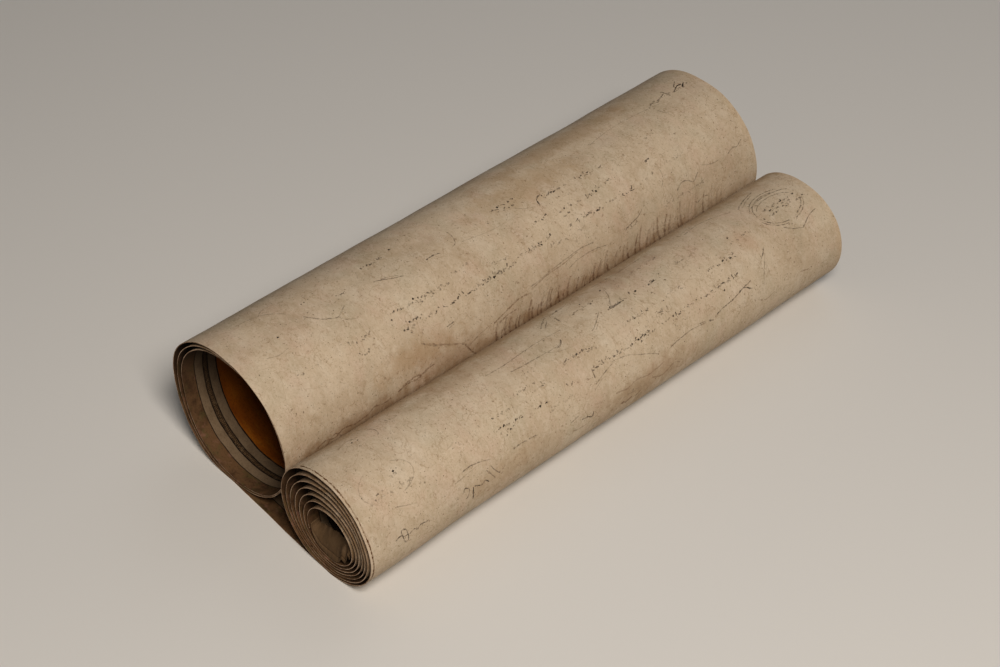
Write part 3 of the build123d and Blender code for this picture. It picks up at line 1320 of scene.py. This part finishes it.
SMALL_PRINT = RollPrint(
    ovals=(
        *[Oval(388, 116, 22 - d, 15.5 - d, start, sweep, 0.8, 0.6) for d, start, sweep in OVAL_ARCS],
        Oval(388, 117, 17, 8.5, 20, 140, 0.8, 0.5),
        Oval(388, 119, 21, 9, 30, 110, 0.9, 0.55),
        Oval(31, 100, 19, 11, -70, 130, 0.8, 0.3),
        Oval(31, 100, 20, 12, 120, 110, 0.7, 0.25),
        Oval(48, 134.5, 3, 5, -80, 160, 0.8, 0.45),
        Oval(66, 138, 5, 3, 180, 120, 0.8, 0.4),
    ),
    lines=(
        (0.9, 0.85, 20, 65, 25, 66, 27, 60, 29.5, 61, 29, 68, 25.5, 69, 26, 65, 31, 64),
        (0.9, 0.7, 31, 64, 35, 65, 37, 63.5, 40, 65, 46, 64),
        (0.9, 0.7, 74, 66, 76, 69, 79, 67, 78, 62, 76, 61),
        (1.0, 0.9, 82, 57, 82.5, 66, 86, 65.5, 89, 64, 92, 65.5, 95, 63),
        (0.8, 0.6, 104, 64, 100, 69, 98, 73), (0.8, 0.5, 100, 63, 96, 69, 94, 72),
        (0.8, 0.6, 117, 74, 123, 74.5, 128, 74), (0.9, 0.65, 130, 74, 137, 73),
        (0.8, 0.6, 77, 80, 84, 80.5, 92, 79, 99, 77), (0.6, 0.3, 70, 76, 88, 78),
        (0.7, 0.35, 28, 84, 36, 81, 42, 79), (1.3, 0.85, 174, 63, 179, 62, 182.5, 60, 184, 63),
        (0.8, 0.5, 164, 66, 171, 67.5),
        (0.7, 0.45, 144, 116, 155, 115, 166, 114.5, 176, 114, 183, 114, 186, 116),
        (1.0, 0.85, 181, 113, 185, 114, 187, 117),
        (0.8, 0.45, 130, 123.5, 145, 123, 160, 124, 176, 124.5, 193, 123),
        (0.8, 0.5, 190, 80, 198, 83, 208, 86), (0.6, 0.4, 188, 77, 196, 81), (0.8, 0.7, 191, 84, 191.5, 90),
        (1.2, 0.55, 186, 133, 191, 137, 196, 141), (0.9, 0.45, 188, 131, 194, 136),
        (1.0, 0.6, 199, 128, 199.5, 135),
        (0.7, 0.4, 207, 87, 214, 86, 221, 84.5, 231, 80, 238, 77, 243, 74),
        (0.8, 0.55, 254, 73, 262, 74.5, 273, 75.5, 280, 75, 287, 74), (0.7, 0.5, 280, 76.5, 287, 75),
        (1.0, 0.6, 290, 74, 294, 72.5), (0.9, 0.75, 296, 74, 303, 76, 312, 77, 320, 79, 325, 80.5),
        (1.0, 0.8, 325, 80.5, 328, 79, 332, 76.5), (1.0, 0.7, 325, 80.5, 329, 81, 333, 82),
        (0.7, 0.5, 208, 110, 213, 112, 223, 119), (0.6, 0.35, 211, 109, 217, 113),
        (0.8, 0.5, 231, 116, 235, 121, 239, 127, 241, 133), (0.7, 0.4, 233, 120, 238, 124),
        (0.7, 0.45, 343, 74, 346, 82, 350, 88, 353, 92), (1.0, 0.6, 348, 90, 351, 92, 355, 96),
        (0.9, 0.7, 365, 130, 373, 134, 381, 137, 388, 139), (0.8, 0.55, 368, 129, 376, 133, 384, 136),
        (0.8, 0.5, 378, 100, 384, 96, 392, 93), (0.8, 0.55, 392, 93, 402, 98, 410, 99.5),
        (0.9, 0.4, 320, 137, 334, 139, 347, 136, 359, 131), (1.0, 0.35, 240, 143, 262, 141, 286, 141),
        (0.6, 0.35, 170, 118, 176, 112, 190, 108), (1.0, 0.8, 229, 116.5, 234, 116, 243, 116.5),
        (1.2, 0.9, 265, 116, 271, 117),
    ),
    brown=(
        (1.1, 1.0, 1.9, 40, 2.0, 70, 1.8, 95, 2.0, 120, 1.8, 146),
        (1.2, 0.35, 204, 66, 214, 64, 222, 66, 234, 64, 246, 66), (1.8, 0.6, 210, 54, 214, 52, 219, 54),
        (1.4, 0.5, 222, 52, 226, 54), (1.3, 0.4, 236, 60, 246, 56, 256, 60, 262, 57),
        (1.2, 0.3, 166, 58, 176, 56, 188, 58), (1.2, 0.35, 336, 66, 344, 62, 352, 64),
        (1.2, 0.4, 378, 66, 386, 64), (1.1, 0.35, 24, 137, 32, 140, 40, 138),
        (1.2, 0.4, 196, 143, 206, 140, 216, 142),
    ),
    rows=(
        (110, 130, 89, 0.85), (112, 122, 86, 0.6), (142, 151, 88, 0.95), (112, 130, 97, 0.8),
        (130, 150, 101.5, 0.7), (148, 156, 98, 0.6), (172, 176, 88, 0.7), (190, 214, 89.3, 0.9),
        (214, 224, 88.8, 0.6), (225, 246, 88.6, 1.0), (227, 243, 90, 0.9), (255, 270, 89.3, 1.0),
        (273, 286, 90, 0.75), (290, 328, 89.5, 0.9), (264, 276, 84, 0.5), (177, 197, 102, 0.95),
        (194, 204, 100, 0.5), (228, 250, 102, 0.85), (264, 281, 102.5, 0.75), (255, 264, 97, 0.6),
        (303, 316, 102, 0.85), (320, 331, 101.5, 0.9), (228, 254, 116.3, 0.95), (264, 274, 116.6, 0.9),
        (376, 410, 112, 0.85), (374, 404, 117, 0.95), (380, 398, 114.5, 1.0), (150, 160, 110, 0.4),
        (292, 312, 118, 0.4), (206, 226, 128, 0.7), (262, 290, 132, 0.45), (318, 338, 139, 0.45),
        (14, 46, 93, 0.35), (18, 26, 96, 0.75), (34, 42, 101, 0.8), (30, 37, 138, 0.6), (78, 84, 96, 0.5),
        (95, 101, 97, 0.5), (208, 226, 58, 0.45), (48, 52, 88, 0.5), (150, 170, 82, 0.3),
        (242, 262, 94, 0.4), (336, 352, 110, 0.6), (196, 214, 140, 0.5),
    ),
    specks=(
        (34, 136, 1.4), (38, 135.5, 1.4), (18, 94, 1.1), (38, 103, 1.3), (116, 84, 0.9), (120, 86, 1.2),
        (146, 88, 1.5), (234, 87.5, 1.5), (310, 86, 1.3), (316, 90, 1.1), (239, 102, 1.5), (371, 112, 1.6),
        (378, 118, 1.4), (392, 115.5, 1.3), (337, 114, 1.5), (239, 134, 1.3), (220, 133, 1.2),
        (214, 52, 2.2), (250, 128, 1.1), (277, 119, 1.0), (207, 141, 1.6), (265, 116, 1.4),
    ),
    traces=(44, 24),
)


@dataclass(frozen=True)
class Comb:
    """A stretch of brown hachures that stand on one guide line down by the groove."""

    name: str
    start: float
    end: float
    foot: float
    ink: float
    marks: Marks

    def guides(self) -> list[Stroke]:
        """Give the guide line."""
        middle = (self.start + self.end) / 2
        return [Stroke(tuple((x, self.foot) for x in (self.start, middle, self.end)), 1.0, self.ink)]


@dataclass(frozen=True)
class CoreFlap:
    """The sheet's crumpled inner end, bent across the lower part of the small roll's core."""

    plan: SheetPlan
    thickness: float = 0.5
    inset: float = 3.2  # millimetres inside the roll's rim
    lean: float = 6.0  # how much further in its torn top is
    crumple: float = 1.0
    columns: int = 48
    rows: int = 40

    def point(self, across: float, up: float) -> Space:
        """Give a point of the flap.

        Args:
            across: 0 at the core's +Y wall and 1 at its -Y wall.
            up: 0 at the core's lower wall and 1 at the torn top.

        Returns:
            The point, in millimetres.
        """
        inner = self.plan.small.arcs()[-2]
        reach = inner.radius - self.thickness
        angle = math.pi * (0.03 + 0.94 * across)
        low = inner.z - (reach - 0.3) * math.sin(angle)
        ragged = noise.noise((across * 9, 3.1, 0.0)) * 1.6 + noise.noise((across * 31, 7.7, 0.0)) * 0.8
        torn = max(0.0, min(1.0, (across - 0.6) / 0.12)) * (2.2 + 6.0 * noise.noise((across * 21, 9.4, 0.0)))
        low += max(0.0, torn)
        top = max(low + 1.0, inner.z - 4.0 + 9.0 * across + ragged)
        z = low + (top - low) * up
        gap = max(0.0, across - 0.72) * up * (9.0 + 9.0 * noise.noise((z * 0.45, 1.7, 0.0)))
        y = inner.y + 0.6 + reach * math.cos(angle) * 0.985 + gap
        spot = (y * 0.06, z * 0.06, 2.0)
        fold = abs(noise.noise(spot)) * 2 - 0.5 + noise.noise((y * 0.17, z * 0.17, 5.0)) * 0.4
        crease = math.exp(-(((up - 0.2) / 0.035) ** 2)) * 0.7
        near = cad_low.x / MM
        return near + self.inset + self.lean * up**1.5 + self.crumple * fold + crease, y, z

    def build(self, finish: Material) -> Thing:
        """Build the flap.

        Args:
            finish: Its material.

        Returns:
            The piece.
        """
        points, places, faces = [], [], []
        for j in range(self.rows):
            for i in range(self.columns):
                across, up = i / (self.columns - 1), j / (self.rows - 1)
                points.append([v * MM for v in self.point(across, up)])
                places += [(1.0 + up * 7.0) * MM, across * 40 * MM, self.plan.width * MM]
        for j in range(self.rows - 1):
            for i in range(self.columns - 1):
                a = j * self.columns + i
                faces.append((a, a + 1, a + self.columns + 1, a + self.columns))
        mesh = bpy.data.meshes.new("small_roll_core_flap")
        mesh.from_pydata(points, [], faces)
        mesh.attributes.new(FLAT, "FLOAT_VECTOR", "POINT").data.foreach_set("vector", places)
        mesh.materials.append(finish)
        piece = in_scene(mesh.name, mesh)
        solid = piece.modifiers.new("thickness", "SOLIDIFY")
        solid.thickness = self.thickness * MM
        solid.offset = 0.0
        return settle(piece)


@dataclass(frozen=True)
class Lamp:
    """One square soft light, in metres and watts."""

    name: str
    place: Space
    size: float
    power: float
    colour: str
    aim: Space = (0, 0, 0.03)

    def build(self) -> None:
        """Hang the light."""
        data = bpy.data.lights.new(self.name, "AREA")
        data.size = self.size
        data.energy = self.power
        data.color = linear(self.colour)[:3]
        lamp = in_scene(self.name, data)
        lamp.location = self.place
        lamp.rotation_euler = (Vector(self.aim) - Vector(self.place)).to_track_quat("-Z", "Y").to_euler()


@dataclass(frozen=True)
class Studio:
    """The floor, the lights and the camera."""

    camera_place: Space = (-0.79085, -0.81894, 1.01428)
    camera_heading: float = 46.64  # degrees from +X towards +Y
    camera_dip: float = 40.96  # degrees below level
    lens: float = 83.0
    floor_half: float = 4.0
    air: str = "#E9ECF0"
    air_strength: float = 0.06
    key: Lamp = Lamp("key", (-0.76, -1.22, 1.78), 0.7, 36.5, "#FFF7EE")
    fill: Lamp = Lamp("fill", (1.4, 0.6, 1.6), 1.6, 2.6, "#F2F6FF")

    def camera(self) -> None:
        """Make the camera."""
        data = bpy.data.cameras.new("camera")
        data.lens = self.lens
        data.sensor_width = 36.0
        camera = in_scene("camera", data)
        heading, dip = math.radians(self.camera_heading), math.radians(self.camera_dip)
        level = math.cos(dip)
        aim = Vector((math.cos(heading) * level, math.sin(heading) * level, -math.sin(dip)))
        camera.location = self.camera_place
        camera.rotation_euler = aim.to_track_quat("-Z", "Y").to_euler()
        bpy.context.scene.camera = camera

    def floor(self) -> None:
        """Make the pale floor."""
        half = self.floor_half
        mesh = bpy.data.meshes.new("floor")
        corners = [(-half, -half, 0), (half, -half, 0), (half, half, 0), (-half, half, 0)]
        mesh.from_pydata(corners, [], [(0, 1, 2, 3)])
        material = bpy.data.materials.new("pale_matte_board")
        material.use_nodes = True
        material.node_tree.nodes.clear()
        # Pale matte board: it gives back soft light and shows a shadow, but no mirror image.
        board = {"Base Color": linear("#DAD8D4"), "Roughness": 0.9}
        shader = add(material.node_tree, "ShaderNodeBsdfPrincipled", board)
        add(material.node_tree, "ShaderNodeOutputMaterial", {"Surface": shader})
        mesh.materials.append(material)
        in_scene("floor", mesh)

    def build(self) -> None:
        """Set up everything round the scroll."""
        self.camera()
        self.floor()
        self.key.build()
        self.fill.build()
        world = bpy.data.worlds.new("studio")
        world.use_nodes = True
        sky = world.node_tree.nodes["Background"].inputs
        sky["Color"].default_value = linear(self.air)
        sky["Strength"].default_value = self.air_strength
        scene = bpy.context.scene
        scene.world = world
        scene.view_settings.view_transform = "Standard"
        scene.view_settings.look = "Medium High Contrast"


def dress(piece: Thing) -> None:
    """Attach a finished piece to the root body, hide the imported sheet, and report it.

    Args:
        piece: The piece.
    """
    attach(piece, "root")
    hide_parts("scroll_sheet")
    log.info("%s: %d faces", piece.name, len(piece.data.polygons))


def build_sheet(plan: SheetPlan, roll_up: Tree, section: Thing, paper: PrintedPaper) -> None:
    """Build the sheet itself, stretch by stretch.

    Args:
        plan: The sheet's plan.
        roll_up: The tree that rolls work up.
        section: The rolled section.
        paper: The finish of its outer face.
    """
    # Between the turns the same paper is painted darker, as painted shade in the gaps between turns, so that
    # only the cut edges stand out pale.
    shade_painted_turns = PrintedPaper("aged_rag_paper_browned_turns", plan.strip, "#8A7053")
    back, edge = PaintedBack().material(), CUT_EDGE.material()
    titles = [face.title for face in Face]
    outside, inside = (
        dict(zip(titles, (finish.material(), back, edge))) for finish in (paper, shade_painted_turns)
    )
    builder = SheetBuilder(plan, roll_up, section)
    tree = builder.tree()
    big_turn, small_turn = plan.turn(plan.big), plan.turn(plan.small)
    big_end, small_end = path_length(plan.big.path()), path_length(plan.small.path())
    strip = plan.strip
    for name, ends, mesh_step, finishes in (
        ("big_outer_turn", (-big_turn, 0), (4, 2.5), outside),
        ("joining_strip", (0, strip), (4, 4), outside),
        ("small_outer_turn", (strip, strip + small_turn), (4, 2.5), outside),
        ("big_inner_turns", (-big_end, -big_turn), (8, 2.5), inside),
        ("small_inner_turns", (strip + small_turn, strip + small_end), (8, 2), inside),
    ):
        dress(builder.build(tree, name, ends, mesh_step, finishes))


def print_sheet(plan: SheetPlan, roll_up: Tree, section: Thing, paper: PrintedPaper) -> None:
    """Print everything that the outer faces carry.

    Args:
        plan: The sheet's plan.
        roll_up: The tree that rolls work up.
        section: The rolled section.
        paper: The finish of the face under the ink.
    """
    # The black ink has faded to a warm dark grey. The brown one has rusted, and the washed one has bled.
    black = {"Ink": Ink("faded_black_printing_ink", "#2A221B", paper).material()}
    brown = {"Ink": Ink("browned_printing_ink", "#5E4024", paper).material()}
    washed = {"Ink": Ink("washed_out_brown_ink", "#624128", paper, 0.12, 0.85).material()}
    dashes = Marks(1.7, 0.7, 1.9, 0.95, 0.8, spread=38, curl=0.15, seed=11).inputs()
    ticks = Marks(3.6, 0.5, 1.9, 0.8, 1.2, 90, 35, seed=23).inputs()
    faint = Marks(2.9, 0.36, 1.5, 0.8, 2.4, spread=180, curl=0.3, faintest=0.0, seed=31).inputs()
    close = Marks(3.9, 0.93, 16.0, 3.3, 0.9, 90, 13, 0.3, 0.5, 0.65, 0.55, 5)
    wide = Marks(4.8, 0.93, 20.0, 3.6, 0.9, 90, 12, 0.28, 0.5, 0.7, 0.5, 8)
    pale = Marks(4.0, 0.9, 18.0, 3.0, 0.9, 90, 10, 0.2, 0.45, 0.6, 0.2, 9)
    combs = (
        Comb("hachures", 176, 266, 261, 0.8, close),
        Comb("wide_hachures", 268, 336, 261, 0.62, wide),
        Comb("faint_hachures", 334, 384, 257, 0.55, pale),
    )
    printer = Printer(plan, roll_up, section)
    lines, marks = printer.line_tree(), printer.mark_tree()
    for title, roll, art in (("big_roll", plan.big, BIG_PRINT), ("small_roll", plan.small, SMALL_PRINT)):
        for name, tree, strokes, values in (
            ("ink_lines", lines, art.ink_lines(), {"Taper": 0.2, **black}),
            ("brown_lines", lines, art.drawn(art.brown), {"Taper": 0.2, **brown}),
            ("ink_marks", marks, art.guides(), {**dashes, **black}),
            ("ink_ticks", marks, art.guides(), {**ticks, **black}),
            ("traces", marks, art.faint_guides(), {**faint, **brown}),
        ):
            printer.print(f"{title}_{name}", tree, roll, strokes, values)
    for comb in combs:
        values = {**comb.marks.inputs(), **washed}
        printer.print(f"big_roll_{comb.name}", marks, plan.big, comb.guides(), values)


def main() -> None:
    """Build the scroll and its studio."""
    logging.basicConfig(level=logging.INFO, format="%(name)s: %(message)s")
    plan = SheetPlan()
    Studio().build()
    section = plan.section()
    near = -(plan.width + plan.end_step) / 2
    big_near, small_far = near + plan.end_step, -near - plan.end_step
    nudges = (
        Nudge((big_near, 97, 40), (60, 60, 45), (0, -2.5, 0)),
        Nudge((near, -95, 22), (90, 40, 40), (0, -2.0, 0)),
        Nudge((small_far, plan.small.axis_y, 77), (120, 60, 50), (0, 0, -2)),
    )
    roll_up = RollUp(plan, nudges).group()
    paper = PrintedPaper("aged_rag_paper_outer", plan.strip)
    build_sheet(plan, roll_up, section, paper)
    dress(CoreFlap(plan).build(CRUMPLED.material()))
    print_sheet(plan, roll_up, section, paper)
    bpy.data.objects.remove(section)


if __name__ == "__main__":
    main()
